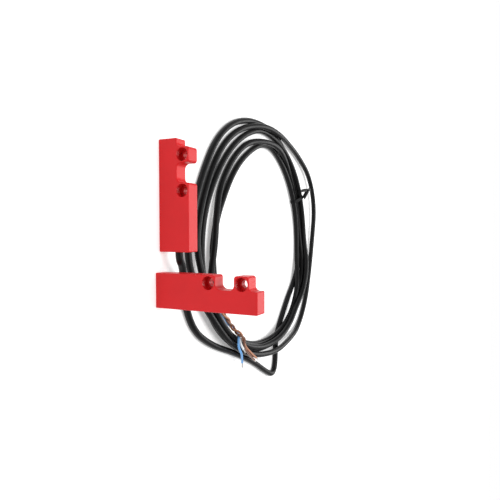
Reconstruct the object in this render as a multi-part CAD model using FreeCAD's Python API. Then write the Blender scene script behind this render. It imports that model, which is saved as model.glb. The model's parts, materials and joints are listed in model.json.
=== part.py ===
import FreeCAD
import Part
import math
import os

# Compact magnetic safety switch, its coded actuator and its coiled lead.
# Millimetres, +Z up. The origin is under the middle of the two blocks. The switch lies
# on its long plain edge with its ears at -X and its lead at +X. The actuator stands on
# its plain end beside it. The fronts face -Y, the mounting backs face +Y.

Vector = FreeCAD.Vector

# Housing blocks: both have this outline, and the actuator's is the mirror image
block_length = 51.0
block_width = 16.0
block_thickness = 7.0
block_gap = 9.3
actuator_ahead = 3.0
notch_depth = 6.3
ear_wall = 0.5
ear_corner = 1.3
tip_fillet = 2.0
notch_fillet = 2.5
block_corner = 0.6
front_edge = 0.4

# Screw holes: M3 cap screws sunk from the front
hole_pitch = 16.0
hole_from_end = 7.5
screw_clearance = 3.4
screw_head = 6.0
head_depth = 4.0

# Moulded walls and the resin that closes the back
side_wall = 1.2
front_wall = 1.2
boss_wall = 1.7
cavity_corner = 0.8
potting_thickness = 1.2
potting_recess = 0.2
post_diameter = 1.2
post_inset = 1.3

# Lead and its entry through the switch's end wall
cable_diameter = 3.6
cable_rise = 0.6
seal_wall = 0.7
sheath_inside = 2.6
core_diameter = 1.3
core_clearance = 0.15

# Circuit board
board_thickness = 1.0
board_clearance = 0.3
board_to_sheath = 5.0
pad_pitch = 2.4
pad_from_end = 1.6
resistor_count = 2
resistor_length = 3.2
resistor_width = 1.6
resistor_height = 0.6
resistor_pitch = 2.6

# Reed capsules beside the sensing edge
reed_names = ["a", "b"]
reed_height = 3.6
reed_length = 10.0
reed_diameter = 1.9
reed_bore = 1.4
reed_seal = 1.8
reed_seat = 0.05
reed_end_round = 0.6
wire_diameter = 0.5
wire_reach = 1.5
wire_stub = 0.5
blade_width = 0.8
blade_thickness = 0.2
blade_overlap = 1.2
blade_gap = 0.15
blade_root_gap = 0.05
solder_radius = 0.5
solder_top = 0.35
solder_height = 0.5

# Coding magnets in their pockets along the actuator's sensing edge
magnet_count = 3
magnet_length = 9.0
magnet_width = 4.0
magnet_depth = 3.6
pocket_rib = 1.0

# Coil of the lead: radius of its outer and inner edge every 30 degrees, from +X
coil_centre = Vector(11.35, 102.0, 0.0)
coil_height = 7.4
# Bundle where the tie holds it: angle, inner radius and outer radius
tie_angle, bundle_inner, bundle_outer = 118.0, 63.2, 74.5
coil_outer = [72.0, 83.8, 97.0, 100.6, 104.4, 84.0, 77.6, 80.4, 80.6, 84.2, 77.2, 70.0]
coil_inner = [61.0, 62.6, 62.0, 63.4, bundle_inner, 64.4, 61.4, 54.8, 53.6, 56.8, 67.6, 61.6]
# Crescent between the bundle and the one slack turn, as angle and radius
crescent_bundle = [(18.0, 73.2), (30.0, 74.4), (45.0, 76.0), (60.0, 78.0), (75.0, 77.0), (90.0, 74.8),
                   (tie_angle, bundle_outer), (140.0, 74.4), (158.0, 75.8)]
crescent_slack = [(158.0, 75.8), (148.0, 81.0), (135.0, 89.4), (120.0, 99.6), (105.0, 100.6), (90.0, 96.0),
                  (75.0, 94.2), (60.0, 92.4), (45.0, 87.0), (30.0, 79.4), (18.0, 73.2)]

# Twist tie round the bundle
tie_width = 1.8
tie_thickness = 0.7
tie_play = 0.3
tie_bend = 0.2
tie_tail = Vector(-0.45, 0.62, 0.64)
tie_tail_length = 14.0
tie_tail_width = 2.0
tie_tail_steps = 6
tie_tail_twist = 90.0

# Route of the lead from the switch, round its one sharp fold, to the coil
exit_route = [
    (15.2, 1.4, 8.6), (17.4, 2.6, 8.3), (19.0, 4.8, 7.6), (21.6, 7.2, 6.5), (25.8, 9.6, 5.2),
    (31.0, 12.2, 3.8), (37.0, 14.7, 2.6), (43.5, 17.8, 1.9), (50.3, 21.7, 1.8), (56.2, 27.4, 1.8),
    (60.8, 34.6, 1.8), (64.8, 42.5, 1.8), (68.3, 50.9, 1.8), (71.6, 59.8, 1.8), (75.0, 68.4, 1.8),
    (78.8, 77.3, 1.8), (83.4, 87.2, 1.8), (88.4, 97.1, 1.8), (93.6, 106.1, 1.8), (97.5, 113.5, 1.8),
    (99.9, 118.6, 1.8), (99.6, 122.6, 1.8), (96.6, 125.2, 1.8), (91.6, 126.2, 1.8), (88.0, 126.5, 1.8),
    (84.6, 126.4, 1.8)]
# Free end of the lead, lying inside the coil
end_route = [(18.0, 42.7, 1.8), (26.4, 43.4, 1.8), (34.8, 45.4, 1.8), (42.4, 48.9, 1.8)]
# Cores: together up over the coil's edge, then apart
core_trunk = [(46.4, 50.74, 1.8), (50.2, 53.6, 3.6), (53.8, 56.8, 6.6), (57.2, 60.2, 9.6)]
core_tails = {
    "blue": [(62.6, 61.4, 8.5), (67.8, 64.2, 8.3), (73.6, 66.8, 8.2), (79.4, 69.4, 7.4), (83.8, 71.6, 6.2)],
    "white": [(62.2, 62.6, 9.9), (67.2, 66.0, 9.2), (72.2, 69.1, 8.5)],
    "light_brown": [(62.6, 64.6, 10.3), (69.2, 69.8, 9.4), (75.2, 76.4, 8.8), (79.6, 81.7, 8.5),
                    (83.7, 87.2, 8.3)],
    "brown": [(62.0, 65.6, 8.9), (68.0, 71.6, 8.8), (74.0, 78.2, 8.8), (78.4, 83.4, 8.5), (82.4, 88.7, 8.3)]}
# Where each core lies in the sheath: to the left or right of the lead's middle, and above or below it
core_seats = {"blue": (-1, -1), "white": (-1, 1), "light_brown": (1, 1), "brown": (1, -1)}
tip_diameter = 0.8
tip_length = 4.0
arc_share = 0.45

# Places that follow from the sizes above
row_length = block_length + block_gap + block_width
switch_corner = Vector(-row_length / 2, (actuator_ahead - block_thickness) / 2, 0)
actuator_corner = Vector(row_length / 2, -(actuator_ahead + block_thickness) / 2, block_length)
ear_width = screw_head + 2 * ear_wall
hole_height = block_width - ear_width / 2
hole_places = [hole_from_end, hole_from_end + hole_pitch]
notch_floor = block_width - notch_depth
ear_start = hole_from_end - ear_width / 2
ear_end = hole_from_end + ear_width / 2
shoulder = hole_places[1] - ear_width / 2
cavity_end = block_length - side_wall
cavity_length = cavity_end - side_wall
cavity_step = hole_places[1] + screw_head / 2 + boss_wall
cavity_top = min(notch_floor, hole_height - screw_head / 2) - side_wall
wide_top = block_width - side_wall
potting_back = block_thickness - potting_recess
potting_front = potting_back - potting_thickness
board_front = potting_front - board_thickness
cable_radius = cable_diameter / 2
cable_depth = (front_wall + potting_front) / 2
cable_height = block_width / 2 + cable_rise
seal_radius = cable_radius + seal_wall
sheath_end = cavity_end - sheath_inside
core_radius = core_diameter / 2
core_spread = core_radius + core_clearance
board_start = side_wall + board_clearance
board_end = sheath_end - board_to_sheath
pad_line = board_end - pad_from_end
reed_room = (pad_line - solder_radius - board_start) / len(reed_names)
reed_centres = {name: board_start + reed_room * (index + 0.5) for index, name in enumerate(reed_names)}
reed_depth = board_front - reed_seat - reed_diameter / 2
reed_seal_face = reed_length / 2 - reed_seal
blade_offset = (blade_gap + blade_thickness) / 2
magnet_pitch = cavity_length / magnet_count

AXIS_X = Vector(1, 0, 0)
AXIS_Y = Vector(0, 1, 0)
AXIS_Z = Vector(0, 0, 1)
ORIGIN = Vector(0, 0, 0)


def rounded_outline(corners, depth):
    """Closed outline in the XZ plane at the given Y, from (x, z, corner radius)."""
    points = [Vector(x, depth, z) for x, z, _ in corners]
    edges = []
    ends = []
    for index, (_, _, radius) in enumerate(corners):
        point = points[index]
        back = (points[index - 1] - point).normalize()
        ahead = (points[(index + 1) % len(points)] - point).normalize()
        half = back.getAngle(ahead) / 2
        reach = radius / math.tan(half)
        middle = (back + ahead).normalize() * (radius / math.sin(half) - radius)
        ends.append((point + back * reach, point + middle, point + ahead * reach))
    for index, (start, middle, end) in enumerate(ends):
        edges.append(Part.Arc(start, middle, end).toShape())
        following = ends[(index + 1) % len(ends)][0]
        edges.append(Part.LineSegment(end, following).toShape())
    return Part.Wire(edges)


def plate(corners, front, back):
    """Solid of an XZ outline between two depths."""
    return Part.Face(rounded_outline(corners, front)).extrude(AXIS_Y * (back - front))


def block_outline():
    """Notched outline of a block, from its notched end at x = 0 and its plain edge at z = 0."""
    return [
        (0, 0, block_corner), (block_length, 0, block_corner),
        (block_length, block_width, block_corner), (shoulder, block_width, ear_corner),
        (shoulder, notch_floor, notch_fillet), (ear_end, notch_floor, notch_fillet),
        (ear_end, block_width, ear_corner), (ear_start, block_width, ear_corner),
        (ear_start, notch_floor, min(tip_fillet, ear_start - block_corner)), (0, notch_floor, block_corner)]


def cavity_outline(inset=0.0, end=None):
    """L-shaped room inside a block, shrunk by inset, and cut short at end if given."""
    right = (cavity_end if end is None else end + inset) - inset
    low = side_wall + inset
    top = wide_top - inset
    step = cavity_step + inset
    floor = cavity_top - inset
    radius = cavity_corner
    return [(low, low, radius), (right, low, radius), (right, top, radius),
            (step, top, radius), (step, floor, radius), (low, floor, radius)]


def block_shell():
    """Moulded block: rounded front edges, two sunk screw holes and a room open at the back."""
    solid = plate(block_outline(), 0, block_thickness)
    rim = [edge for edge in solid.Edges if edge.BoundBox.YMax < front_edge / 2]
    solid = solid.makeFillet(front_edge, rim)
    for place in hole_places:
        mouth = Vector(place, 0, hole_height)
        solid = solid.cut(Part.makeCylinder(screw_clearance / 2, block_thickness, mouth, AXIS_Y))
        solid = solid.cut(Part.makeCylinder(screw_head / 2, head_depth, mouth, AXIS_Y))
    return solid.cut(plate(cavity_outline(), front_wall, block_thickness))


def switch_frame(shape):
    """Move a piece from the block's own corner to the switch's place."""
    return shape.translated(switch_corner)


def actuator_frame(shape):
    """Mirror a piece and stand it up, notched end on top, at the actuator's place."""
    mirrored = shape.mirror(ORIGIN, AXIS_X)
    upright = mirrored.rotated(ORIGIN, AXIS_Y, -90)
    return upright.translated(actuator_corner)


def tangent_path(points):
    """Straight runs joined by tangent arcs, each as large as its two runs allow."""
    edges = []
    radii = []
    last = points[0]
    for before, point, after in zip(points, points[1:], points[2:]):
        back = before - point
        ahead = after - point
        reach = arc_share * min(back.Length, ahead.Length)
        back.normalize()
        ahead.normalize()
        half = back.getAngle(ahead) / 2
        radius = reach * math.tan(half)
        middle = point + (back + ahead).normalize() * (radius / math.sin(half) - radius)
        start = point + back * reach
        end = point + ahead * reach
        edges.append(Part.LineSegment(last, start).toShape())
        edges.append(Part.Arc(start, middle, end).toShape())
        radii.append(radius)
        last = end
    edges.append(Part.LineSegment(last, points[-1]).toShape())
    return Part.Wire(edges), radii


def tube(name, points, radius):
    """Round tube along a route, with its bend radii and its volume printed."""
    path, radii = tangent_path(points)
    start = points[0]
    ring = Part.Wire(Part.makeCircle(radius, start, points[1] - start))
    solid = path.makePipeShell([ring], True, False)
    solid = Part.Solid(Part.Shell(solid.Faces))
    share = solid.Volume / (math.pi * radius ** 2 * path.Length)
    print(name, "length %.1f, volume share %.4f" % (path.Length, share))
    print("  radii", " ".join("%.1f" % value for value in radii))
    return solid


def route(points):
    """List of points as vectors."""
    return [Vector(*point) for point in points]


def polar(angle, radius, height=0.0):
    """Point at an angle in degrees and a radius about the coil's centre."""
    turn = math.radians(angle)
    return coil_centre + Vector(radius * math.cos(turn), radius * math.sin(turn), height)


def make_switch_housing():
    """Switch block with the bore for its lead's seal and the posts that carry its board."""
    bore = Part.makeCylinder(seal_radius, side_wall, Vector(cavity_end, cable_depth, cable_height), AXIS_X)
    solid = block_shell().cut([bore, make_cable_entry()])
    places = [(centre, cavity_top - post_inset) for centre in reed_centres.values()]
    places.append((cavity_step + post_inset, wide_top - post_inset))
    posts = [Part.makeCylinder(post_diameter / 2, board_front - front_wall, Vector(x, front_wall, z), AXIS_Y)
             for x, z in places]
    return solid.fuse(posts).removeSplitter()


def make_switch_potting():
    """Layer of resin that closes the switch's back behind the board and the lead."""
    return plate(cavity_outline(), potting_front, potting_back).cut(make_cable_entry())


def make_cable_seal():
    """Sleeve that fills the bore between the wall and the lead."""
    mouth = Vector(cavity_end, cable_depth, cable_height)
    sleeve = Part.makeCylinder(seal_radius, side_wall, mouth, AXIS_X)
    return sleeve.cut(Part.makeCylinder(cable_radius, side_wall, mouth, AXIS_X))


def make_cable_entry():
    """Lead's sheath inside the seal and the housing."""
    start = Vector(sheath_end, cable_depth, cable_height)
    return Part.makeCylinder(cable_radius, block_length - sheath_end, start, AXIS_X)


def make_board():
    """Circuit board between the posts and the potting."""
    return plate(cavity_outline(board_clearance, board_end), board_front, potting_front)


def pad_place(column):
    """Where a core is soldered to the board, counted from the sensing edge."""
    middle = (len(core_seats) - 1) / 2
    return Vector(pad_line, board_front, cable_height + pad_pitch * (column - middle))


def make_inner_core(column, name):
    """One core from the sheath's end to its pad on the board."""
    side, level = core_seats[name]
    start = Vector(sheath_end, cable_depth + level * core_spread, cable_height + side * core_spread)
    pad = pad_place(column)
    depth = board_front - core_radius
    over = Vector(board_end + core_radius, depth, pad.z)
    end = Vector(pad.x + solder_radius, depth, pad.z)
    return tube("inner_core_" + name, [start, start - AXIS_X * core_diameter, over, end], core_radius)


def make_resistors():
    """Chip resistors, one above the other on the board's wide end."""
    chips = []
    middle = Vector((cavity_step + pad_line) / 2, board_front - resistor_height, (cavity_top + wide_top) / 2)
    for index in range(resistor_count):
        rise = resistor_pitch * (index - (resistor_count - 1) / 2)
        corner = middle + Vector(-resistor_length / 2, 0, rise - resistor_width / 2)
        chips.append(Part.makeBox(resistor_length, resistor_height, resistor_width, corner))
    return Part.makeCompound(chips)


def reed_glass(centre):
    """Sealed glass tube, solid at both ends round its wires."""
    start = Vector(centre - reed_length / 2, reed_depth, reed_height)
    body = Part.makeCylinder(reed_diameter / 2, reed_length, start, AXIS_X)
    rims = [edge for edge in body.Edges if edge.Closed]
    body = body.makeFillet(reed_end_round, rims)
    room = Part.makeCylinder(reed_bore / 2, 2 * reed_seal_face,
                             Vector(centre - reed_seal_face, reed_depth, reed_height), AXIS_X)
    wire = Part.makeCylinder(wire_diameter / 2, reed_length, start, AXIS_X)
    return body.cut(room).cut(wire)


def reed_foot(centre, side):
    """Place on the reed's axis where a wire turns to the board."""
    return Vector(centre + side * (reed_length / 2 + wire_reach), reed_depth, reed_height)


def reed_wire(centre, side, inner):
    """Wire through one seal, bent down to the board; inner is its end along the axis."""
    foot = reed_foot(centre, side)
    radius = wire_diameter / 2
    run = Part.makeCylinder(radius, abs(foot.x - inner), foot, AXIS_X * -side)
    drop = Part.makeCylinder(radius, board_front - reed_depth, foot, AXIS_Y)
    return run.fuse([drop, Part.makeSphere(radius, foot)]).removeSplitter()


def blade(start, end, depth):
    """Flat contact blade along the reed's axis."""
    corner = Vector(start, depth - blade_thickness / 2, reed_height - blade_width / 2)
    return Part.makeBox(end - start, blade_thickness, blade_width, corner)


def reed_leads(centre):
    """Fixed blade with its wire, and the wire that carries the moving blade."""
    stub = centre - reed_seal_face + wire_stub
    fixed = blade(centre - reed_seal_face, centre + blade_overlap / 2, reed_depth - blade_offset)
    fixed = reed_wire(centre, -1, stub).fuse(fixed).removeSplitter()
    carrier = reed_wire(centre, 1, centre + reed_seal_face)
    return Part.makeCompound([fixed, carrier])


def reed_blade(centre):
    """Moving blade, which springs at the seal's inner face."""
    start = centre - blade_overlap / 2
    end = centre + reed_seal_face - blade_root_gap
    return blade(start, end, reed_depth + blade_offset)


def make_solder():
    """Solder round each reed's foot and at each core's end."""
    cones = []
    for centre in reed_centres.values():
        for side in (-1, 1):
            foot = reed_foot(centre, side)
            base = Vector(foot.x, board_front, foot.z)
            cone = Part.makeCone(solder_radius, solder_top, solder_height, base, AXIS_Y * -1)
            wire = Part.makeCylinder(wire_diameter / 2, board_front - reed_depth, foot, AXIS_Y)
            cones.append(cone.cut(wire))
    for column in range(len(core_seats)):
        cones.append(Part.makeCone(solder_radius, solder_top, solder_height, pad_place(column), AXIS_Y * -1))
    return Part.makeCompound(cones)


def magnet_start(index):
    """Where a coding magnet begins along the actuator block."""
    return side_wall + magnet_pitch * (index + 0.5) - magnet_length / 2


def make_magnet(index):
    """Block magnet against the sensing edge's wall."""
    corner = Vector(magnet_start(index), front_wall, side_wall)
    return Part.makeBox(magnet_length, magnet_depth, magnet_width, corner)


def make_actuator_housing():
    """Actuator block with a rib at each end of each magnet."""
    ribs = []
    for index in range(magnet_count):
        start = magnet_start(index)
        for place in (start - pocket_rib, start + magnet_length):
            corner = Vector(place, front_wall, side_wall)
            ribs.append(Part.makeBox(pocket_rib, magnet_depth, magnet_width, corner))
    return block_shell().fuse(ribs).removeSplitter()


def make_actuator_potting():
    """Resin that fills the actuator round its ribs and magnets."""
    resin = plate(cavity_outline(), front_wall, potting_back)
    magnets = [make_magnet(index) for index in range(magnet_count)]
    return resin.cut(magnets + [make_actuator_housing()])


def closed_curve(radii):
    """Smooth closed outline through radii spaced evenly about the coil's centre."""
    step = 360.0 / len(radii)
    curve = Part.BSplineCurve()
    curve.interpolate([polar(step * index, radius) for index, radius in enumerate(radii)], PeriodicFlag=True)
    return Part.Wire(curve.toShape())


def open_curve(stations):
    """Smooth line through (angle, radius) stations."""
    curve = Part.BSplineCurve()
    curve.interpolate([polar(angle, radius) for angle, radius in stations])
    return curve.toShape()


def at_tie(shape):
    """Turn a piece from the XZ plane to the tie's place on the coil."""
    return shape.rotated(ORIGIN, AXIS_Z, tie_angle).translated(coil_centre)


def make_coil():
    """Outer shape of the coil, with the slack turn's crescent and the tie's groove."""
    rim = Part.Face(closed_curve(coil_outer))
    rim = rim.cut(Part.Face(closed_curve(coil_inner)))
    crescent = Part.Wire([open_curve(crescent_bundle), open_curve(crescent_slack)])
    rim = rim.cut(Part.Face(crescent))
    solid = rim.Faces[0].extrude(AXIS_Z * coil_height)
    overhang = 2 * tie_thickness
    groove_width = tie_width + 2 * tie_play
    groove = Part.makeBox(bundle_outer - bundle_inner + 2 * overhang, groove_width, tie_thickness + tie_play,
                          Vector(bundle_inner - overhang, -groove_width / 2, 0))
    return solid.cut(at_tie(groove))


def tie_section(grow, corner):
    """Outline of the tie's loop across the bundle, grown outwards from its inner face."""
    left = bundle_inner - tie_play - grow
    right = bundle_outer + tie_play + grow
    low = tie_thickness - grow
    high = coil_height + tie_play + grow
    outline = [(left, low, corner), (right, low, corner), (right, high, corner), (left, high, corner)]
    return plate(outline, -tie_width / 2, tie_width / 2)


def make_tie_loop():
    """Strip bent round the bundle."""
    strip = tie_section(tie_thickness, tie_bend + tie_thickness)
    return at_tie(strip.cut(tie_section(0, tie_bend)))


def make_tie_twist():
    """Twisted ends of the strip, standing up behind the bundle."""
    top = coil_height + tie_play + tie_thickness
    lean = FreeCAD.Rotation(AXIS_Z, tie_tail)
    clear = tie_tail_width / 2 * math.sin(AXIS_Z.getAngle(tie_tail))
    foot = polar(tie_angle, (bundle_inner + bundle_outer) / 2, top + clear)
    signs = [(1, 1), (-1, 1), (-1, -1), (1, -1)]
    corners = [Vector(tie_tail_width / 2 * across, tie_thickness / 2 * along, 0) for across, along in signs]
    sections = []
    for step in range(tie_tail_steps + 1):
        spin = FreeCAD.Rotation(AXIS_Z, tie_tail_twist * step)
        rise = AXIS_Z * (tie_tail_length * step / tie_tail_steps)
        ring = [foot + lean.multVec(spin.multVec(corner) + rise) for corner in corners]
        sections.append(Part.makePolygon(ring + ring[:1]))
    return Part.makeLoft(sections, True, True)


def core_points(name):
    """Route of one free core from the sheath's end."""
    end = Vector(*end_route[-1])
    heading = (end - Vector(*end_route[-2])).normalize()
    across = AXIS_Z.cross(heading)
    side, level = core_seats[name]
    shift = across * (side * core_spread) + AXIS_Z * (level * core_spread)
    trunk = [end + shift] + [point + shift for point in route(core_trunk)]
    return trunk + route(core_tails[name])


def make_tips():
    """Bare ends of the four cores."""
    tips = []
    for name in core_seats:
        before, end = core_points(name)[-2:]
        tips.append(Part.makeCylinder(tip_diameter / 2, tip_length, end, end - before))
    return Part.makeCompound(tips)


def build():
    """Every node of the assembly by name."""
    nodes = {
        "switch_housing": switch_frame(make_switch_housing()),
        "switch_potting": switch_frame(make_switch_potting()),
        "circuit_board": switch_frame(make_board()),
        "series_resistors": switch_frame(make_resistors()),
        "solder_joints": switch_frame(make_solder()),
        "cable_seal": switch_frame(make_cable_seal()),
        "cable_entry": switch_frame(make_cable_entry())}
    for label, centre in reed_centres.items():
        nodes["reed_glass_" + label] = switch_frame(reed_glass(centre))
        nodes["reed_leads_" + label] = switch_frame(reed_leads(centre))
        nodes["reed_blade_" + label] = switch_frame(reed_blade(centre))
    for column, name in enumerate(core_seats):
        nodes["inner_core_" + name] = switch_frame(make_inner_core(column, name))
    nodes["actuator_housing"] = actuator_frame(make_actuator_housing())
    nodes["actuator_potting"] = actuator_frame(make_actuator_potting())
    for index in range(magnet_count):
        nodes["coding_magnet_%d" % (index + 1)] = actuator_frame(make_magnet(index))
    exit_point = switch_corner + Vector(block_length, cable_depth, cable_height)
    nodes["cable_exit_run"] = tube("cable_exit_run", [exit_point] + route(exit_route), cable_radius)
    nodes["cable_coil"] = make_coil()
    nodes["cable_end_run"] = tube("cable_end_run", route(end_route), cable_radius)
    for name in core_seats:
        nodes["core_" + name] = tube("core_" + name, core_points(name), core_radius)
    nodes["core_tips"] = make_tips()
    nodes["tie_loop"] = make_tie_loop()
    nodes["tie_twist"] = make_tie_twist()
    return nodes


os.makedirs("parts", exist_ok=True)
for node, shape in build().items():
    shape.exportStep(os.path.join("parts", node + ".step"))
    facts = (node, len(shape.Solids), shape.Volume, shape.isValid())
    print("%-20s solids %d, volume %.2f, valid %s" % facts)
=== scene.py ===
"""Dresses the magnetic safety switch: its coiled lead, cores, tie, finishes and stage."""
import bpy
import json
import math
from bpy.props import FloatProperty, FloatVectorProperty, IntProperty, PointerProperty
from bpy.types import Operator, Panel, PropertyGroup
from mathutils import Matrix, Vector


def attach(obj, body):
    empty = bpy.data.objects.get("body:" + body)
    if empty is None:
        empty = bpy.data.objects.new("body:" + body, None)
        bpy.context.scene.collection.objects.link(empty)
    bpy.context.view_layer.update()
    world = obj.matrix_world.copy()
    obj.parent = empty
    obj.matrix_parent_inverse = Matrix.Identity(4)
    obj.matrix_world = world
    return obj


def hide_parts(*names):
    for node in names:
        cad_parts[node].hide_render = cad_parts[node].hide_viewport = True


bl_info = {
    "name": "Magnetic safety switch",
    "version": (1, 0, 0),
    "blender": (4, 5, 0),
    "location": "View3D > Sidebar > Safety switch",
    "description": "Lays the lead, cores and tie of a magnetic safety switch and finishes its blocks",
    "category": "Object",
}

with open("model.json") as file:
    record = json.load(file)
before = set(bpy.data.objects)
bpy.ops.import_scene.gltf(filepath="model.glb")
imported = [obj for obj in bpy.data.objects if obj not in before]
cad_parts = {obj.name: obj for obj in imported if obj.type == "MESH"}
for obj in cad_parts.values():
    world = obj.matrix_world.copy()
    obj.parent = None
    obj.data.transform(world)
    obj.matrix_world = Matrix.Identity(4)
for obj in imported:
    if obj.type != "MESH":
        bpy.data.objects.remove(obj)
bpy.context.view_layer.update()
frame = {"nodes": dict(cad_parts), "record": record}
BODY = "switch"
MM = 0.001
WHITE = (1.0, 1.0, 1.0, 1.0)

# Fineness of the drawn curves: steps along them and sides round their sections
CURVE_STEPS = 8
STRAND_STEPS = 20
STRAND_SIDES = 10
TWIST_STEPS = 24
RIDGE_SIDES = 12
EDGE_STEPS = 2
TIE_STEPS = 48
# Part of a noise's range over which tone and gloss change
NOISE_LOW = 0.3
NOISE_HIGH = 0.7

# Route of the lead in millimetres, from the switch round its sharp fold to the coil
EXIT_ROUTE = [
    (12.85, 1.4, 8.6), (15.2, 1.4, 8.6), (17.4, 2.6, 8.3), (19.0, 4.8, 7.6), (21.6, 7.2, 6.5),
    (25.8, 9.6, 5.2), (31.0, 12.2, 3.8), (37.0, 14.7, 2.6), (43.5, 17.8, 1.9), (50.3, 21.7, 1.8),
    (56.2, 27.4, 1.8), (60.8, 34.6, 1.8), (64.8, 42.5, 1.8), (68.3, 50.9, 1.8), (71.6, 59.8, 1.8),
    (75.0, 68.4, 1.8), (78.8, 77.3, 1.8), (83.4, 87.2, 1.8), (88.4, 97.1, 1.8), (93.6, 106.1, 1.8),
    (97.5, 113.5, 1.8), (99.9, 118.6, 1.8), (99.6, 122.6, 1.8), (96.6, 125.2, 1.8), (91.6, 126.2, 1.8),
    (88.0, 126.5, 1.8), (84.6, 126.4, 1.8)]
# Inner strand that leads from the fold into the bundle
INNER_ROUTE = [
    (81.0, 126.6, 1.8), (75.1, 128.2, 1.8), (68.4, 133.4, 1.8), (60.0, 140.9, 1.8), (51.2, 149.2, 1.8),
    (43.1, 158.7, 1.8), (33.3, 167.2, 1.8), (22.4, 172.4, 1.8)]
# Coil: radius of the lead about the centre and its rise over the table at every step, a group for each turn
COIL_CENTRE = Vector((11.35, 102.0, 1.8))
COIL_START = 90.0
COIL_STEP = 15.0
COIL_STATIONS = [
    (72.0, 0.3), (72.4, 0.6), (72.8, 0.6), (73.6, 0.3), (75.2, 0.0), (76.6, 0.0), (75.5, 0.0), (76.8, 0.0),
    (78.7, 0.0), (79.2, 0.0), (78.2, 0.0), (79.8, 0.0), (84.2, 0.0), (80.6, 0.6), (75.4, 3.5), (72.2, 3.7),
    (69.8, 3.7), (69.2, 3.7),

    (70.4, 3.7), (74.4, 4.0), (80.0, 3.3), (93.0, 0.2), (95.8, 0.0), (94.2, 0.3), (95.6, 1.0), (102.9, 1.8),
    (101.6, 1.6), (90.8, 0.6), (81.2, 1.5), (75.0, 4.2), (73.7, 3.6), (73.0, 0.8), (73.0, 0.0), (73.0, 0.0),
    (72.4, 0.0), (73.6, 0.0), (76.4, 0.6), (75.4, 3.6), (71.6, 4.0), (68.4, 3.6), (65.8, 3.6), (65.0, 3.6),

    (65.4, 3.8), (65.0, 6.8), (64.8, 7.4), (64.4, 7.2), (69.2, 7.2), (68.6, 7.7), (70.0, 3.7), (70.2, 3.4),
    (70.4, 3.6), (71.0, 3.6), (72.2, 2.4), (73.1, 0.2), (71.9, 0.0), (69.0, 0.0), (67.4, 0.0), (66.8, 0.0),
    (67.4, 0.0), (69.6, 0.0), (70.8, 0.0), (71.2, 0.0), (72.2, 0.0), (70.2, 0.0), (67.4, 0.0), (66.8, 0.0),

    (67.4, 0.0), (68.0, 3.2), (68.7, 3.9), (70.5, 3.7), (68.4, 3.7), (69.2, 4.0), (67.8, 1.1), (67.5, 0.3),
    (67.3, 0.6), (68.0, 0.6), (68.0, 2.4), (65.9, 4.5), (64.2, 3.6), (63.9, 0.6), (61.8, 0.0), (60.6, 0.0),
    (60.3, 0.2), (60.5, 2.0), (61.4, 2.8), (65.0, 0.6), (68.4, 0.0), (66.4, 0.0), (63.8, 0.0), (63.2, 0.0),

    (63.8, 0.0), (64.4, 2.6), (65.1, 3.9), (66.9, 3.7), (64.4, 4.0), (64.8, 0.8), (64.2, 0.0), (63.9, 0.3),
    (63.7, 0.6), (64.4, 0.3), (65.2, 0.0), (65.8, 0.0), (62.8, 0.0), (58.2, 0.0), (55.8, 0.0), (54.4, 0.0),
    (54.2, 0.0), (56.7, 0.0), (58.9, 0.0)]
# Free end of the lead, lying inside the coil
END_ROUTE = [(18.0, 42.7, 1.8), (26.4, 43.4, 1.8), (34.8, 45.4, 1.8), (42.4, 48.9, 1.8)]

# Cores: straight run out of the sheath in core diameters, side and level of each in the sheath, then its own
# route over the coil
CORE_STRAIGHT = 3.0
CORE_SEATS = {"blue": (-1, -1), "white": (1, -1), "light_brown": (-1, 1), "brown": (1, 1)}
CORE_ROUTES = {
    "blue": [(50.0, 54.2, 0.7), (53.2, 58.2, 0.7), (56.4, 61.0, 0.7), (58.6, 62.8, 2.2), (60.4, 62.4, 5.0),
             (61.9, 60.9, 7.6), (64.0, 58.8, 8.8), (67.0, 58.0, 9.0), (70.0, 59.8, 8.8), (72.8, 63.0, 8.4),
             (75.8, 66.6, 6.8), (78.8, 69.6, 5.4), (80.4, 70.4, 5.0)],
    "white": [(48.8, 55.8, 0.7), (51.8, 59.9, 0.7), (55.2, 62.8, 0.7), (58.2, 64.6, 1.8), (60.4, 64.2, 4.4),
              (62.2, 62.5, 7.2), (64.6, 60.6, 8.6), (66.8, 59.8, 9.6), (68.8, 60.9, 10.0), (70.2, 62.4, 9.9)],
    "light_brown": [(50.1, 52.3, 2.6), (52.2, 56.2, 3.9), (54.1, 59.7, 2.6), (57.2, 60.8, 2.5),
                    (59.3, 59.2, 4.9), (59.4, 59.8, 7.6), (61.3, 60.8, 9.8), (63.9, 61.4, 10.0),
                    (66.6, 63.8, 9.6), (70.6, 68.1, 8.6), (74.8, 74.4, 8.5), (78.4, 81.0, 7.4),
                    (80.6, 85.2, 7.0)],
    "brown": [(48.7, 53.7, 2.6), (52.2, 56.2, 2.1), (55.5, 58.3, 2.6), (56.8, 61.0, 4.3), (59.1, 61.2, 5.2),
              (61.0, 59.6, 6.5), (61.9, 59.0, 9.8), (63.7, 61.2, 11.8), (66.8, 62.0, 10.4), (71.6, 66.9, 8.8),
              (76.0, 73.4, 8.3), (79.6, 79.8, 7.0), (82.0, 84.6, 6.0)]}

# Twist tie: its angle about the coil, the turns that it holds, and the foot, knot and free ends of its bow
TIE_ANGLE = 118.0
TIE_TURNS = [TIE_ANGLE + 360.0 * turn for turn in (0, 2, 3, 4)]
TIE_FOOT = Vector((-21.7, 164.4, 8.3))
TIE_KNOT = Vector((-26.6, 166.2, 10.4))
TIE_ENDS = [
    [(-27.2, 164.6, 10.8), (-26.8, 161.0, 10.0), (-26.0, 157.5, 9.0)],
    [(-27.9, 168.0, 10.9), (-28.0, 170.4, 10.9), (-27.3, 172.8, 10.5)]]

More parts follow.
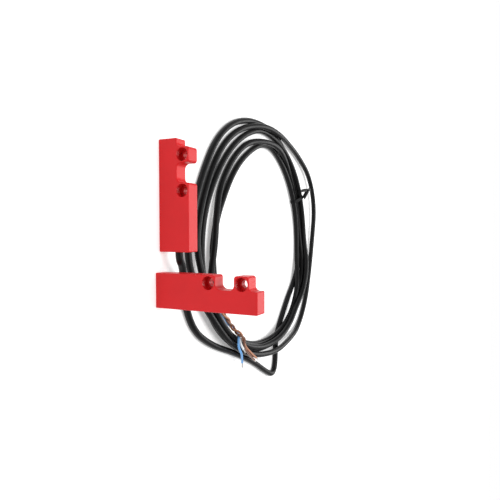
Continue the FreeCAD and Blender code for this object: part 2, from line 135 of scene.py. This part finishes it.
# Floor paper: fibres to a metre and their detail, share of light in the darker fibres, gloss range and sheen
FIBRE_SCALE = 40.0
FIBRE_DETAIL = 3.0
FIBRE_SHADE = 0.985
FLOOR_ROUGH = (0.75, 0.85)
FLOOR_SHEEN = 0.1


class LeadSettings(PropertyGroup):
    """Sizes of the lead and of the cores inside it."""
    diameter: FloatProperty(
        name="Sheath diameter", description="Outside diameter of the lead", default=0.0036, unit="LENGTH")
    core_diameter: FloatProperty(
        name="Core diameter", description="Diameter of each insulated core", default=0.0013, unit="LENGTH")
    core_clearance: FloatProperty(
        name="Core clearance", description="Half of the room between two cores in the sheath",
        default=0.00015, unit="LENGTH")
    sides: IntProperty(
        name="Roundness", description="Steps in a quarter of the round section", default=5, min=1, max=12)


class TipSettings(PropertyGroup):
    """Sizes of the bare stranded ends of the cores."""
    length: FloatProperty(
        name="Bare length", description="Length of bare conductor at each core's end",
        default=0.004, unit="LENGTH")
    strands: IntProperty(
        name="Outer strands", description="Strands laid round the middle one", default=6, min=3, max=18)
    strand_diameter: FloatProperty(
        name="Strand diameter", description="Diameter of one fine strand", default=0.00027, unit="LENGTH")
    turns: FloatProperty(
        name="Turns", description="Turns that the outer strands make along the bare length", default=0.8)


class TieSettings(PropertyGroup):
    """Sizes of the twist tie."""
    width: FloatProperty(
        name="Strip width", description="Width of the tie's flat strip", default=0.0022, unit="LENGTH")
    thickness: FloatProperty(
        name="Strip thickness", description="Thickness of the strip's flat wings",
        default=0.0003, unit="LENGTH")
    wire: FloatProperty(
        name="Wire", description="Diameter of the ridge over the strip's wire",
        default=0.0005, unit="LENGTH")
    rounding: FloatProperty(
        name="Rounding", description="Radius of the edges of the strip's wings",
        default=0.0001, unit="LENGTH")
    lay: FloatProperty(
        name="Lay", description="Distance of each twisted strip from the twist's axis, in wires", default=2.4)
    turns: FloatProperty(
        name="Twist turns", description="Turns that the two ends make about each other", default=2.5)


def colour(name, default):
    """Colour setting."""
    return FloatVectorProperty(name=name, description="Colour of the " + name.lower(), default=default,
                               subtype="COLOR", min=0.0, max=1.0)


class ColourSettings(PropertyGroup):
    """Colour of each material slot."""
    housing_plastic: colour("Housings", (0.68, 0.012, 0.016))
    potting_resin: colour("Potting resin", (0.03, 0.03, 0.032))
    board_laminate: colour("Circuit board", (0.03, 0.16, 0.07))
    chip_ceramic: colour("Resistors", (0.05, 0.05, 0.055))
    solder: colour("Solder", (0.72, 0.72, 0.7))
    capsule_glass: colour("Reed capsules", (0.72, 0.86, 0.76))
    reed_metal: colour("Reeds", (0.62, 0.6, 0.56))
    magnet_ferrite: colour("Magnets", (0.09, 0.09, 0.1))
    seal_rubber: colour("Cable seal", (0.02, 0.02, 0.02))
    sheath_plastic: colour("Sheath", (0.007, 0.007, 0.0075))
    core_blue: colour("Blue core", (0.16, 0.42, 0.82))
    core_white: colour("White core", (0.85, 0.85, 0.84))
    core_light_brown: colour("Light brown core", (0.5, 0.22, 0.12))
    core_brown: colour("Brown core", (0.2, 0.085, 0.05))
    tinned_copper: colour("Bare strands", (0.62, 0.6, 0.57))
    tie_plastic: colour("Tie", (0.006, 0.006, 0.007))


class StageSettings(PropertyGroup):
    """Camera, light and floor."""
    place: FloatVectorProperty(
        name="Camera place", description="Where the camera stands", default=(0.00365, -0.1878, 0.1385),
        subtype="TRANSLATION", unit="LENGTH")
    pitch: FloatProperty(
        name="Pitch", description="How far the camera looks down", default=math.radians(26.4),
        subtype="ANGLE")
    yaw: FloatProperty(
        name="Yaw", description="How far the camera turns about the upright", default=math.radians(-2.35),
        subtype="ANGLE")
    roll: FloatProperty(
        name="Roll", description="How far the camera leans about its own axis", default=math.radians(-0.99),
        subtype="ANGLE")
    sensor: FloatProperty(
        name="Sensor", description="Width of the camera's sensor", default=36.0, subtype="DISTANCE_CAMERA")
    lens: FloatProperty(
        name="Lens", description="Focal length of the camera", default=36.0, subtype="DISTANCE_CAMERA")
    floor: colour("Floor", (0.92, 0.92, 0.92))
    half: FloatProperty(
        name="Floor half width", description="Half of the floor's width", default=12.0, unit="LENGTH")
    glow: FloatProperty(
        name="Glow", description="Light that the floor gives off, as on a light table",
        default=0.3, min=0.0)
    sun_from: FloatVectorProperty(
        name="Sun", description="Direction that the overhead light comes from", default=(-0.1, -0.05, 1.0))
    sun_strength: FloatProperty(
        name="Sun strength", description="Strength of the overhead light", default=1.9, min=0.0)
    sun_spread: FloatProperty(
        name="Sun spread", description="How wide the overhead light looks", default=math.radians(40.0),
        subtype="ANGLE")
    panel_place: FloatVectorProperty(
        name="Panel place", description="Where the back panel stands", default=(0.0, 1.1, 0.75),
        subtype="TRANSLATION", unit="LENGTH")
    panel_target: FloatVectorProperty(
        name="Panel target", description="Where the back panel faces", default=(0.0, 0.05, 0.0),
        subtype="TRANSLATION", unit="LENGTH")
    panel_size: FloatProperty(
        name="Panel size", description="Diameter of the back panel", default=0.9, unit="LENGTH")
    panel_power: FloatProperty(
        name="Panel power", description="Power of the back panel", default=7.0, min=0.0)
    sky: FloatProperty(
        name="Sky", description="Light that comes from all round", default=0.42, min=0.0)


def polar(angle, radius, height=0.0):
    """Point in millimetres at an angle in degrees and a radius about the coil's centre."""
    turn = math.radians(angle)
    return COIL_CENTRE + Vector((radius * math.cos(turn), radius * math.sin(turn), height))


def coil_points():
    """Control points of the coil's turns; they stand a little outside the line that they draw."""
    spread = 1.0 / math.cos(math.radians(COIL_STEP / 2.0))
    return [polar(COIL_START + COIL_STEP * index, radius * spread, rise)
            for index, (radius, rise) in enumerate(COIL_STATIONS)]


def coil_place(angle):
    """Radius and rise of the coil at an angle counted through all its turns."""
    place = (angle - COIL_START) / COIL_STEP
    index = int(place)
    before, after = (Vector(station) for station in COIL_STATIONS[index:index + 2])
    return before.lerp(after, place - index)


def lead_points():
    """Control points of the whole lead in metres."""
    points = [Vector(point) for point in EXIT_ROUTE + INNER_ROUTE]
    points += coil_points()
    points += [Vector(point) for point in END_ROUTE]
    return [point * MM for point in points]


def core_points(name, settings):
    """Control points of one core in metres, from its seat in the sheath's end."""
    before, end = (Vector(point) * MM for point in END_ROUTE[-2:])
    heading = (end - before).normalized()
    across = Vector((0.0, 0.0, 1.0)).cross(heading)
    side, level = CORE_SEATS[name]
    reach = settings.core_diameter / 2.0 + settings.core_clearance
    seat = end + across * (side * reach) + Vector((0.0, 0.0, level * reach))
    sunk = seat - heading * settings.core_diameter
    clear = seat + heading * (CORE_STRAIGHT * settings.core_diameter)
    return [sunk, seat, clear] + [Vector(point) * MM for point in CORE_ROUTES[name]]


def smooth_curve(name, points, radius=0.0, sides=0):
    """Curve object whose one open spline takes the points as its control points."""
    curve = bpy.data.curves.new(name, "CURVE")
    curve.dimensions = "3D"
    spline = curve.splines.new("NURBS")
    spline.points.add(len(points) - 1)
    for control, point in zip(spline.points, points):
        control.co = (*point, 1.0)
    spline.order_u = 3
    spline.use_endpoint_u = True
    spline.resolution_u = CURVE_STEPS
    spline.use_smooth = True
    curve.bevel_depth = radius
    curve.bevel_resolution = sides
    curve.use_fill_caps = radius > 0.0
    obj = bpy.data.objects.new(name, curve)
    bpy.context.scene.collection.objects.link(obj)
    return obj


def line_points(points):
    """Points along the smooth line that the control points draw."""
    guide = smooth_curve("guide", points)
    graph = bpy.context.evaluated_depsgraph_get()
    mesh = bpy.data.meshes.new_from_object(guide.evaluated_get(graph))
    line = [vertex.co.copy() for vertex in mesh.vertices]
    bpy.data.meshes.remove(mesh)
    curve = guide.data
    bpy.data.objects.remove(guide)
    bpy.data.curves.remove(curve)
    return line


def line_length(line):
    """Length of a line of points."""
    return sum((after - before).length for before, after in zip(line, line[1:]))


def feed(tree, socket, value):
    """Give an input its value; a socket given as a value is linked."""
    if isinstance(value, bpy.types.NodeSocket):
        tree.links.new(value, socket)
    else:
        socket.default_value = value


def add_node(tree, kind, **inputs):
    """Node of a kind with some of its inputs fed."""
    node = tree.nodes.new(kind)
    for key, value in inputs.items():
        feed(tree, node.inputs[key.replace("_", " ")], value)
    return node


def noise(tree, coordinates, scale, detail, stretch=(1.0, 1.0, 1.0)):
    """Noise over the object's own coordinates, scale in features to a metre."""
    mapping = add_node(tree, "ShaderNodeMapping", Vector=coordinates, Scale=stretch)
    texture = add_node(tree, "ShaderNodeTexNoise", Vector=mapping.outputs["Vector"], Scale=scale,
                       Detail=detail)
    return texture.outputs["Fac"]


def tones(tree, factor, dark, light):
    """Colour that runs between two tones."""
    ramp = tree.nodes.new("ShaderNodeValToRGB")
    tree.links.new(factor, ramp.inputs["Fac"])
    low, high = ramp.color_ramp.elements
    low.position = NOISE_LOW
    low.color = (*dark, 1.0)
    high.position = NOISE_HIGH
    high.color = (*light, 1.0)
    return ramp.outputs["Color"]


def between(tree, factor, low, high):
    """Value that runs between two limits."""
    spread = add_node(tree, "ShaderNodeMapRange", Value=factor, From_Min=NOISE_LOW, From_Max=NOISE_HIGH,
                      To_Min=low, To_Max=high)
    return spread.outputs["Result"]


def make_finish(slot, contrast, patch, grain, rough, relief, stretch=(1.0, 1.0, 1.0), metallic=0.0,
                transmission=0.0, ior=1.5, patch_detail=4.0, grain_detail=3.0):
    """Material of a slot: patches of tone and gloss over a fine grained relief."""
    base = getattr(bpy.context.scene.switch_colours, slot)
    material = bpy.data.materials.new(slot + "_finish")
    material.use_nodes = True
    tree = material.node_tree
    shader = tree.nodes["Principled BSDF"]
    shader.inputs["Metallic"].default_value = metallic
    shader.inputs["IOR"].default_value = ior
    shader.inputs["Transmission Weight"].default_value = transmission
    coordinates = tree.nodes.new("ShaderNodeTexCoord").outputs["Object"]
    mottle = noise(tree, coordinates, patch, patch_detail, stretch)
    fine = noise(tree, coordinates, grain, grain_detail, stretch)
    dark = [channel * (1.0 - contrast) for channel in base]
    light = [min(1.0, channel * (1.0 + contrast)) for channel in base]
    tree.links.new(tones(tree, mottle, dark, light), shader.inputs["Base Color"])
    tree.links.new(between(tree, fine, *rough), shader.inputs["Roughness"])
    bump = add_node(tree, "ShaderNodeBump", Height=fine, Distance=relief, Strength=1.0)
    tree.links.new(bump.outputs["Normal"], shader.inputs["Normal"])
    return material


def core_finish(contrast):
    """Finish of a core's insulation."""
    return dict(contrast=contrast, patch=400.0, grain=2800.0, rough=(0.32, 0.46), relief=0.000006)


# Finishes: contrast of the patches, patches and grains to a metre, gloss range and depth of relief
FINISHES = {
    "housing_plastic": dict(contrast=0.04, patch=90.0, grain=2600.0, rough=(0.34, 0.46), relief=0.00001,
                            ior=1.3),
    "potting_resin": dict(contrast=0.2, patch=160.0, grain=420.0, rough=(0.18, 0.34), relief=0.00008),
    "board_laminate": dict(contrast=0.18, patch=700.0, grain=2200.0, rough=(0.35, 0.5), relief=0.00001,
                           stretch=(1.0, 1.0, 3.0)),
    "chip_ceramic": dict(contrast=0.25, patch=1500.0, grain=5000.0, rough=(0.45, 0.6), relief=0.00001),
    "solder": dict(contrast=0.12, patch=1200.0, grain=3500.0, rough=(0.18, 0.35), relief=0.00001,
                   metallic=1.0),
    "capsule_glass": dict(contrast=0.05, patch=500.0, grain=900.0, rough=(0.02, 0.06), relief=0.000004,
                          transmission=0.9),
    "reed_metal": dict(contrast=0.1, patch=900.0, grain=6000.0, rough=(0.22, 0.4), relief=0.000004,
                       metallic=1.0, stretch=(0.05, 1.0, 1.0)),
    "magnet_ferrite": dict(contrast=0.25, patch=1100.0, grain=4200.0, rough=(0.5, 0.7), relief=0.00002),
    "seal_rubber": dict(contrast=0.2, patch=600.0, grain=3000.0, rough=(0.6, 0.75), relief=0.00001),
    "sheath_plastic": dict(contrast=0.22, patch=260.0, grain=2400.0, rough=(0.3, 0.44), relief=0.000003,
                           ior=1.25),
    "core_blue": core_finish(0.1),
    "core_white": core_finish(0.06),
    "core_light_brown": core_finish(0.12),
    "core_brown": core_finish(0.15),
    "tinned_copper": dict(contrast=0.15, patch=1500.0, grain=7000.0, rough=(0.25, 0.42), relief=0.000004,
                          metallic=1.0),
    "tie_plastic": dict(contrast=0.25, patch=700.0, grain=3200.0, rough=(0.4, 0.58), relief=0.00001,
                        ior=1.25),
}


def finish(slot):
    """Material of a slot, made the first time it is asked for."""
    return bpy.data.materials.get(slot + "_finish") or make_finish(slot, **FINISHES[slot])


def seat_piece(obj, slot, *nodes):
    """Give a piece its finish, let it ride with the switch and take the place of its solids."""
    obj.data.materials.clear()
    obj.data.materials.append(finish(slot))
    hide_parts(*nodes)
    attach(obj, BODY)


def new_tree(name, sizes, counts=()):
    """Geometry node tree with a geometry input and output and named number inputs."""
    tree = bpy.data.node_groups.new(name, "GeometryNodeTree")
    tree.interface.new_socket("Geometry", in_out="INPUT", socket_type="NodeSocketGeometry")
    for size in sizes:
        tree.interface.new_socket(size, in_out="INPUT", socket_type="NodeSocketFloat")
    for count in counts:
        tree.interface.new_socket(count, in_out="INPUT", socket_type="NodeSocketInt")
    tree.interface.new_socket("Geometry", in_out="OUTPUT", socket_type="NodeSocketGeometry")
    source = tree.nodes.new("NodeGroupInput")
    return tree, source.outputs


def close_tree(tree, geometry, slot):
    """Realise the instances, set the material and end the tree."""
    real = add_node(tree, "GeometryNodeRealizeInstances", Geometry=geometry)
    dressed = add_node(tree, "GeometryNodeSetMaterial", Geometry=real.outputs["Geometry"])
    dressed.inputs["Material"].default_value = finish(slot)
    smooth = add_node(tree, "GeometryNodeSetShadeSmooth", Geometry=dressed.outputs["Geometry"])
    sink = tree.nodes.new("NodeGroupOutput")
    tree.links.new(smooth.outputs["Geometry"], sink.inputs["Geometry"])


def grow(name, tree, values, data, place=Matrix()):
    """Plain mesh object that a tree makes from its values, put in its place."""
    maker = bpy.data.objects.new(name + "_maker", data)
    bpy.context.scene.collection.objects.link(maker)
    modifier = maker.modifiers.new("nodes", "NODES")
    modifier.node_group = tree
    for item in tree.interface.items_tree:
        if item.in_out == "INPUT" and item.name in values:
            modifier[item.identifier] = values[item.name]
    graph = bpy.context.evaluated_depsgraph_get()
    mesh = bpy.data.meshes.new_from_object(maker.evaluated_get(graph), depsgraph=graph)
    maker.modifiers.remove(modifier)
    bpy.data.objects.remove(maker)
    if not mesh.polygons:
        raise RuntimeError("the tree of " + name + " made no faces")
    mesh.name = name
    mesh.transform(place)
    obj = bpy.data.objects.new(name, mesh)
    bpy.context.scene.collection.objects.link(obj)
    return obj


def aimed(place, heading):
    """Matrix that stands a piece made along Z at a place, along a heading."""
    return Matrix.Translation(place) @ heading.to_track_quat("Z", "Y").to_matrix().to_4x4()


def calculate(tree, operation, first, second):
    """Result of an operation on two values, each a number or a socket."""
    node = tree.nodes.new("ShaderNodeMath")
    node.operation = operation
    feed(tree, node.inputs[0], first)
    feed(tree, node.inputs[1], second)
    return node.outputs["Value"]


def add_spiral(tree, sizes, steps):
    """Upright spiral with the length, lay radius and turns that the tree is given."""
    spiral = add_node(tree, "GeometryNodeCurveSpiral", Resolution=steps, Rotations=sizes["Turns"],
                      Start_Radius=sizes["Lay radius"], End_Radius=sizes["Lay radius"],
                      Height=sizes["Length"])
    return spiral.outputs["Curve"]


def sweep(tree, path, section):
    """Closed mesh of a section drawn along a path."""
    swept = add_node(tree, "GeometryNodeCurveToMesh", Curve=path, Profile_Curve=section, Fill_Caps=True)
    return swept.outputs["Mesh"]


def ring_of(tree, piece, count, angle):
    """Copies of a piece in one place, each turned about Z by its own angle."""
    places = add_node(tree, "GeometryNodePoints", Count=count)
    turn = add_node(tree, "ShaderNodeCombineXYZ", Z=angle)
    ring = add_node(tree, "GeometryNodeInstanceOnPoints", Points=places.outputs["Points"], Instance=piece,
                    Rotation=turn.outputs["Vector"])
    return ring.outputs["Instances"]


def join(tree, first, second):
    """Two geometries as one."""
    joined = tree.nodes.new("GeometryNodeJoinGeometry")
    for geometry in (first, second):
        tree.links.new(geometry, joined.inputs["Geometry"])
    return joined.outputs["Geometry"]


def tip_tree():
    """Tree of a stranded conductor along Z."""
    names = ["Length", "Lay radius", "Strand radius", "Turns"]
    tree, sizes = new_tree("stranded_conductor", names, ["Strands"])
    circle = add_node(tree, "GeometryNodeCurvePrimitiveCircle", Resolution=STRAND_SIDES,
                      Radius=sizes["Strand radius"])
    section = circle.outputs["Curve"]
    strand = sweep(tree, add_spiral(tree, sizes, STRAND_STEPS), section)
    index = tree.nodes.new("GeometryNodeInputIndex").outputs["Index"]
    share = calculate(tree, "DIVIDE", index, sizes["Strands"])
    ring = ring_of(tree, strand, sizes["Strands"], calculate(tree, "MULTIPLY", share, 2.0 * math.pi))
    end = add_node(tree, "ShaderNodeCombineXYZ", Z=sizes["Length"])
    axis = add_node(tree, "GeometryNodeCurvePrimitiveLine", End=end.outputs["Vector"])
    middle = sweep(tree, axis.outputs["Curve"], section)
    close_tree(tree, join(tree, middle, ring), "tinned_copper")
    return tree


# Sizes of the tie's section that both of its trees take
STRIP_SIZES = ["Across", "Along", "Rounding", "Wire radius"]


def strip_section(tree, sizes):
    """Section of the tie's strip: flat wings with a ridge over the wire."""
    wings = add_node(tree, "GeometryNodeCurvePrimitiveQuadrilateral", Width=sizes["Across"],
                     Height=sizes["Along"])
    rounded = add_node(tree, "GeometryNodeFilletCurve", Curve=wings.outputs["Curve"],
                       Radius=sizes["Rounding"])
    rounded.mode = "POLY"
    rounded.inputs["Count"].default_value = EDGE_STEPS
    ridge = add_node(tree, "GeometryNodeCurvePrimitiveCircle", Resolution=RIDGE_SIDES,
                     Radius=sizes["Wire radius"])
    return join(tree, rounded.outputs["Curve"], ridge.outputs["Curve"])


def tie_strip_tree():
    """Tree that draws the strip along the path it is given."""
    tree, sizes = new_tree("tie_strip", STRIP_SIZES)
    path = add_node(tree, "GeometryNodeMeshToCurve", Mesh=sizes["Geometry"])
    strip = sweep(tree, path.outputs["Curve"], strip_section(tree, sizes))
    close_tree(tree, strip, "tie_plastic")
    return tree


def tie_twist_tree():
    """Tree of two strips twisted about each other along Z."""
    tree, sizes = new_tree("tie_twist", ["Length", "Lay radius", "Turns"] + STRIP_SIZES)
    upright = add_node(tree, "GeometryNodeSetCurveNormal", Curve=add_spiral(tree, sizes, TWIST_STEPS))
    upright.mode = "Z_UP"
    strip = sweep(tree, upright.outputs["Curve"], strip_section(tree, sizes))
    index = tree.nodes.new("GeometryNodeInputIndex").outputs["Index"]
    pair = ring_of(tree, strip, 2, calculate(tree, "MULTIPLY", index, math.pi))
    close_tree(tree, pair, "tie_plastic")
    return tree


def tie_path(clearance):
    """Closed path in millimetres round the strands that the tie holds, from its lowest point."""
    strands = [coil_place(angle) for angle in TIE_TURNS]
    path = []
    for step in range(TIE_STEPS):
        turn = 2.0 * math.pi * (step / TIE_STEPS - 0.25)
        out = Vector((math.cos(turn), math.sin(turn)))
        radius, rise = max(strands, key=out.dot) + out * clearance
        path.append(polar(TIE_ANGLE, radius, rise))
    return path


def path_mesh(name, lines, closed):
    """Mesh of edges along each line of points."""
    mesh = bpy.data.meshes.new(name)
    corners = []
    edges = []
    for line in lines:
        first = len(corners)
        corners += line
        edges += [(index, index + 1) for index in range(first, len(corners) - 1)]
        if closed:
            edges.append((len(corners) - 1, first))
    mesh.from_pydata(corners, edges, [])
    return mesh


class SWITCH_OT_finish_blocks(Operator):
    """Give every solid its finish"""
    bl_idname = "switch.finish_blocks"
    bl_label = "Finish the blocks"

    def execute(self, context):
        for entry in frame["record"]["subparts"]:
            node = frame["nodes"][entry["node"]]
            for place in node.material_slots:
                place.material = finish(entry["material_slot"])
        return {"FINISHED"}


class SWITCH_OT_lay_lead(Operator):
    """Lay the coiled lead from the switch to its free end"""
    bl_idname = "switch.lay_lead"
    bl_label = "Lay the lead"

    def execute(self, context):
        settings = context.scene.switch_lead
        points = lead_points()
        lead = smooth_curve("lead", points, settings.diameter / 2.0, settings.sides)
        seat_piece(lead, "sheath_plastic", "cable_exit_run", "cable_coil", "cable_end_run")
        line_length(line_points(points))
        return {"FINISHED"}


class SWITCH_OT_lay_cores(Operator):
    """Lay the four cores over the coil and strip their ends"""
    bl_idname = "switch.lay_cores"
    bl_label = "Lay the cores"

    def execute(self, context):
        settings = context.scene.switch_lead
        tip = context.scene.switch_tip
        tree = tip_tree()
        strand_radius = tip.strand_diameter / 2.0
        values = {"Length": tip.length, "Lay radius": tip.strand_diameter, "Strand radius": strand_radius,
                  "Turns": tip.turns, "Strands": tip.strands}
        for name in CORE_SEATS:
            points = core_points(name, settings)
            heading = (points[-1] - points[-2]).normalized()
            end = grow("tip_" + name, tree, values, bpy.data.meshes.new("tip"),
                       aimed(points[-1], heading))
            seat_piece(end, "tinned_copper", "core_tips")
            core = smooth_curve("wire_" + name, points, settings.core_diameter / 2.0, settings.sides)
            seat_piece(core, "core_" + name, "core_" + name)
            line_length(line_points(points))
        return {"FINISHED"}


class SWITCH_OT_wind_tie(Operator):
    """Wind the twist tie round the bundle"""
    bl_idname = "switch.wind_tie"
    bl_label = "Wind the tie"

    def execute(self, context):
        settings = context.scene.switch_tie
        flat = {"Across": settings.width, "Along": settings.thickness, "Rounding": settings.rounding,
                "Wire radius": settings.wire / 2.0}
        on_edge = dict(flat, Across=settings.thickness, Along=settings.width)
        clearance = (context.scene.switch_lead.diameter + settings.wire) / 2.0 / MM
        round_bundle = [point * MM for point in tie_path(clearance)]
        tree = tie_strip_tree()
        band = grow("tie_band", tree, flat, path_mesh("tie_path", [round_bundle], True))
        seat_piece(band, "tie_plastic", "tie_loop")
        foot, knot = TIE_FOOT * MM, TIE_KNOT * MM
        values = dict(on_edge, Length=(knot - foot).length, Turns=settings.turns)
        values["Lay radius"] = settings.wire * settings.lay
        twist = grow("tie_twisted", tie_twist_tree(), values, bpy.data.meshes.new("twist"),
                     aimed(foot, knot - foot))
        seat_piece(twist, "tie_plastic", "tie_twist")
        ends = [line_points([knot] + [Vector(point) * MM for point in end]) for end in TIE_ENDS]
        bow = grow("tie_ends", tree, flat, path_mesh("tie_end_paths", ends, False))
        seat_piece(bow, "tie_plastic", "tie_twist")
        return {"FINISHED"}


class SWITCH_OT_set_stage(Operator):
    """Set the floor, the lights and the camera"""
    bl_idname = "switch.set_stage"
    bl_label = "Set the stage"

    def execute(self, context):
        scene = context.scene
        settings = scene.switch_stage
        self.add_floor(scene, settings)
        self.add_sun(scene, settings)
        self.add_panel(scene, settings)
        self.add_sky(scene, settings)
        scene.view_settings.view_transform = "Standard"
        self.add_camera(scene, settings)
        return {"FINISHED"}

    def add_floor(self, scene, settings):
        half = settings.half
        mesh = bpy.data.meshes.new("floor")
        corners = [(-half, -half, 0.0), (half, -half, 0.0), (half, half, 0.0), (-half, half, 0.0)]
        mesh.from_pydata(corners, [], [(0, 1, 2, 3)])
        floor = bpy.data.objects.new("floor", mesh)
        scene.collection.objects.link(floor)
        material = bpy.data.materials.new("floor_paper")
        material.use_nodes = True
        tree = material.node_tree
        shader = tree.nodes["Principled BSDF"]
        shader.inputs["Specular IOR Level"].default_value = FLOOR_SHEEN
        shader.inputs["Emission Color"].default_value = WHITE
        shader.inputs["Emission Strength"].default_value = settings.glow
        coordinates = tree.nodes.new("ShaderNodeTexCoord").outputs["Object"]
        fibre = noise(tree, coordinates, FIBRE_SCALE, FIBRE_DETAIL)
        pale = tuple(settings.floor)
        soft = tuple(channel * FIBRE_SHADE for channel in pale)
        tree.links.new(tones(tree, fibre, soft, pale), shader.inputs["Base Color"])
        tree.links.new(between(tree, fibre, *FLOOR_ROUGH), shader.inputs["Roughness"])
        mesh.materials.append(material)

    def add_sky(self, scene, settings):
        world = bpy.data.worlds.new("studio")
        world.use_nodes = True
        tree = world.node_tree
        lit = tree.nodes["Background"]
        lit.inputs["Color"].default_value = WHITE
        lit.inputs["Strength"].default_value = settings.sky
        # The camera itself sees white beyond the floor's edge
        seen = add_node(tree, "ShaderNodeBackground", Color=WHITE, Strength=1.0)
        rays = tree.nodes.new("ShaderNodeLightPath")
        sky = add_node(tree, "ShaderNodeMixShader", Fac=rays.outputs["Is Camera Ray"])
        tree.links.new(lit.outputs["Background"], sky.inputs[1])
        tree.links.new(seen.outputs["Background"], sky.inputs[2])
        tree.links.new(sky.outputs["Shader"], tree.nodes["World Output"].inputs["Surface"])
        scene.world = world

    def add_sun(self, scene, settings):
        lamp = bpy.data.lights.new("overhead", "SUN")
        lamp.energy = settings.sun_strength
        lamp.angle = settings.sun_spread
        self.add_light(scene, lamp, Vector(settings.sun_from), Vector())

    def add_panel(self, scene, settings):
        lamp = bpy.data.lights.new("back", "AREA")
        lamp.shape = "DISK"
        lamp.size = settings.panel_size
        lamp.energy = settings.panel_power
        self.add_light(scene, lamp, Vector(settings.panel_place), Vector(settings.panel_target))

    def add_light(self, scene, lamp, place, target):
        light = bpy.data.objects.new(lamp.name, lamp)
        light.location = place
        light.rotation_euler = (target - place).to_track_quat("-Z", "Y").to_euler()
        scene.collection.objects.link(light)

    def add_camera(self, scene, settings):
        ahead = Vector((0.0, math.cos(settings.pitch), -math.sin(settings.pitch)))
        over = Vector((0.0, math.sin(settings.pitch), math.cos(settings.pitch)))
        aside = Vector((1.0, 0.0, 0.0))
        turn = Matrix.Rotation(settings.yaw, 3, "Z")
        ahead, over, aside = turn @ ahead, turn @ over, turn @ aside
        lean = Matrix.Rotation(settings.roll, 3, ahead)
        over, aside = lean @ over, lean @ aside
        data = bpy.data.cameras.new("camera")
        data.sensor_width = settings.sensor
        data.lens = settings.lens
        data.clip_start = 0.01
        camera = bpy.data.objects.new("camera", data)
        stand = Matrix((over, -aside, -ahead)).transposed().to_4x4()
        camera.matrix_world = Matrix.Translation(settings.place) @ stand
        scene.collection.objects.link(camera)
        scene.camera = camera


OPERATORS = (SWITCH_OT_set_stage, SWITCH_OT_finish_blocks, SWITCH_OT_wind_tie, SWITCH_OT_lay_lead,
             SWITCH_OT_lay_cores)
GROUPS = {"switch_colours": ColourSettings, "switch_lead": LeadSettings, "switch_tip": TipSettings,
          "switch_tie": TieSettings, "switch_stage": StageSettings}


class SWITCH_PT_dress(Panel):
    """Sizes of the dressed switch and the steps that make it"""
    bl_label = "Safety switch"
    bl_idname = "SWITCH_PT_dress"
    bl_space_type = "VIEW_3D"
    bl_region_type = "UI"
    bl_category = "Safety switch"

    def draw(self, context):
        for operator in OPERATORS:
            self.layout.operator(operator.bl_idname)
        for name in GROUPS:
            group = getattr(context.scene, name)
            column = self.layout.column(align=True)
            for prop in group.__annotations__:
                column.prop(group, prop)


def register():
    """Register the classes and hang the settings on the scene."""
    for group in GROUPS.values():
        bpy.utils.register_class(group)
    for operator in OPERATORS:
        bpy.utils.register_class(operator)
    bpy.utils.register_class(SWITCH_PT_dress)
    for name, group in GROUPS.items():
        setattr(bpy.types.Scene, name, PointerProperty(type=group))


def unregister():
    """Take the settings off the scene and unregister the classes."""
    for name in GROUPS:
        delattr(bpy.types.Scene, name)
    bpy.utils.unregister_class(SWITCH_PT_dress)
    for operator in reversed(OPERATORS):
        bpy.utils.unregister_class(operator)
    for group in reversed(GROUPS.values()):
        bpy.utils.unregister_class(group)


def main():
    """Dress the model."""
    register()
    bpy.ops.switch.set_stage()
    bpy.ops.switch.finish_blocks()
    bpy.ops.switch.wind_tie()
    bpy.ops.switch.lay_lead()
    bpy.ops.switch.lay_cores()


if __name__ == "__main__":
    main()
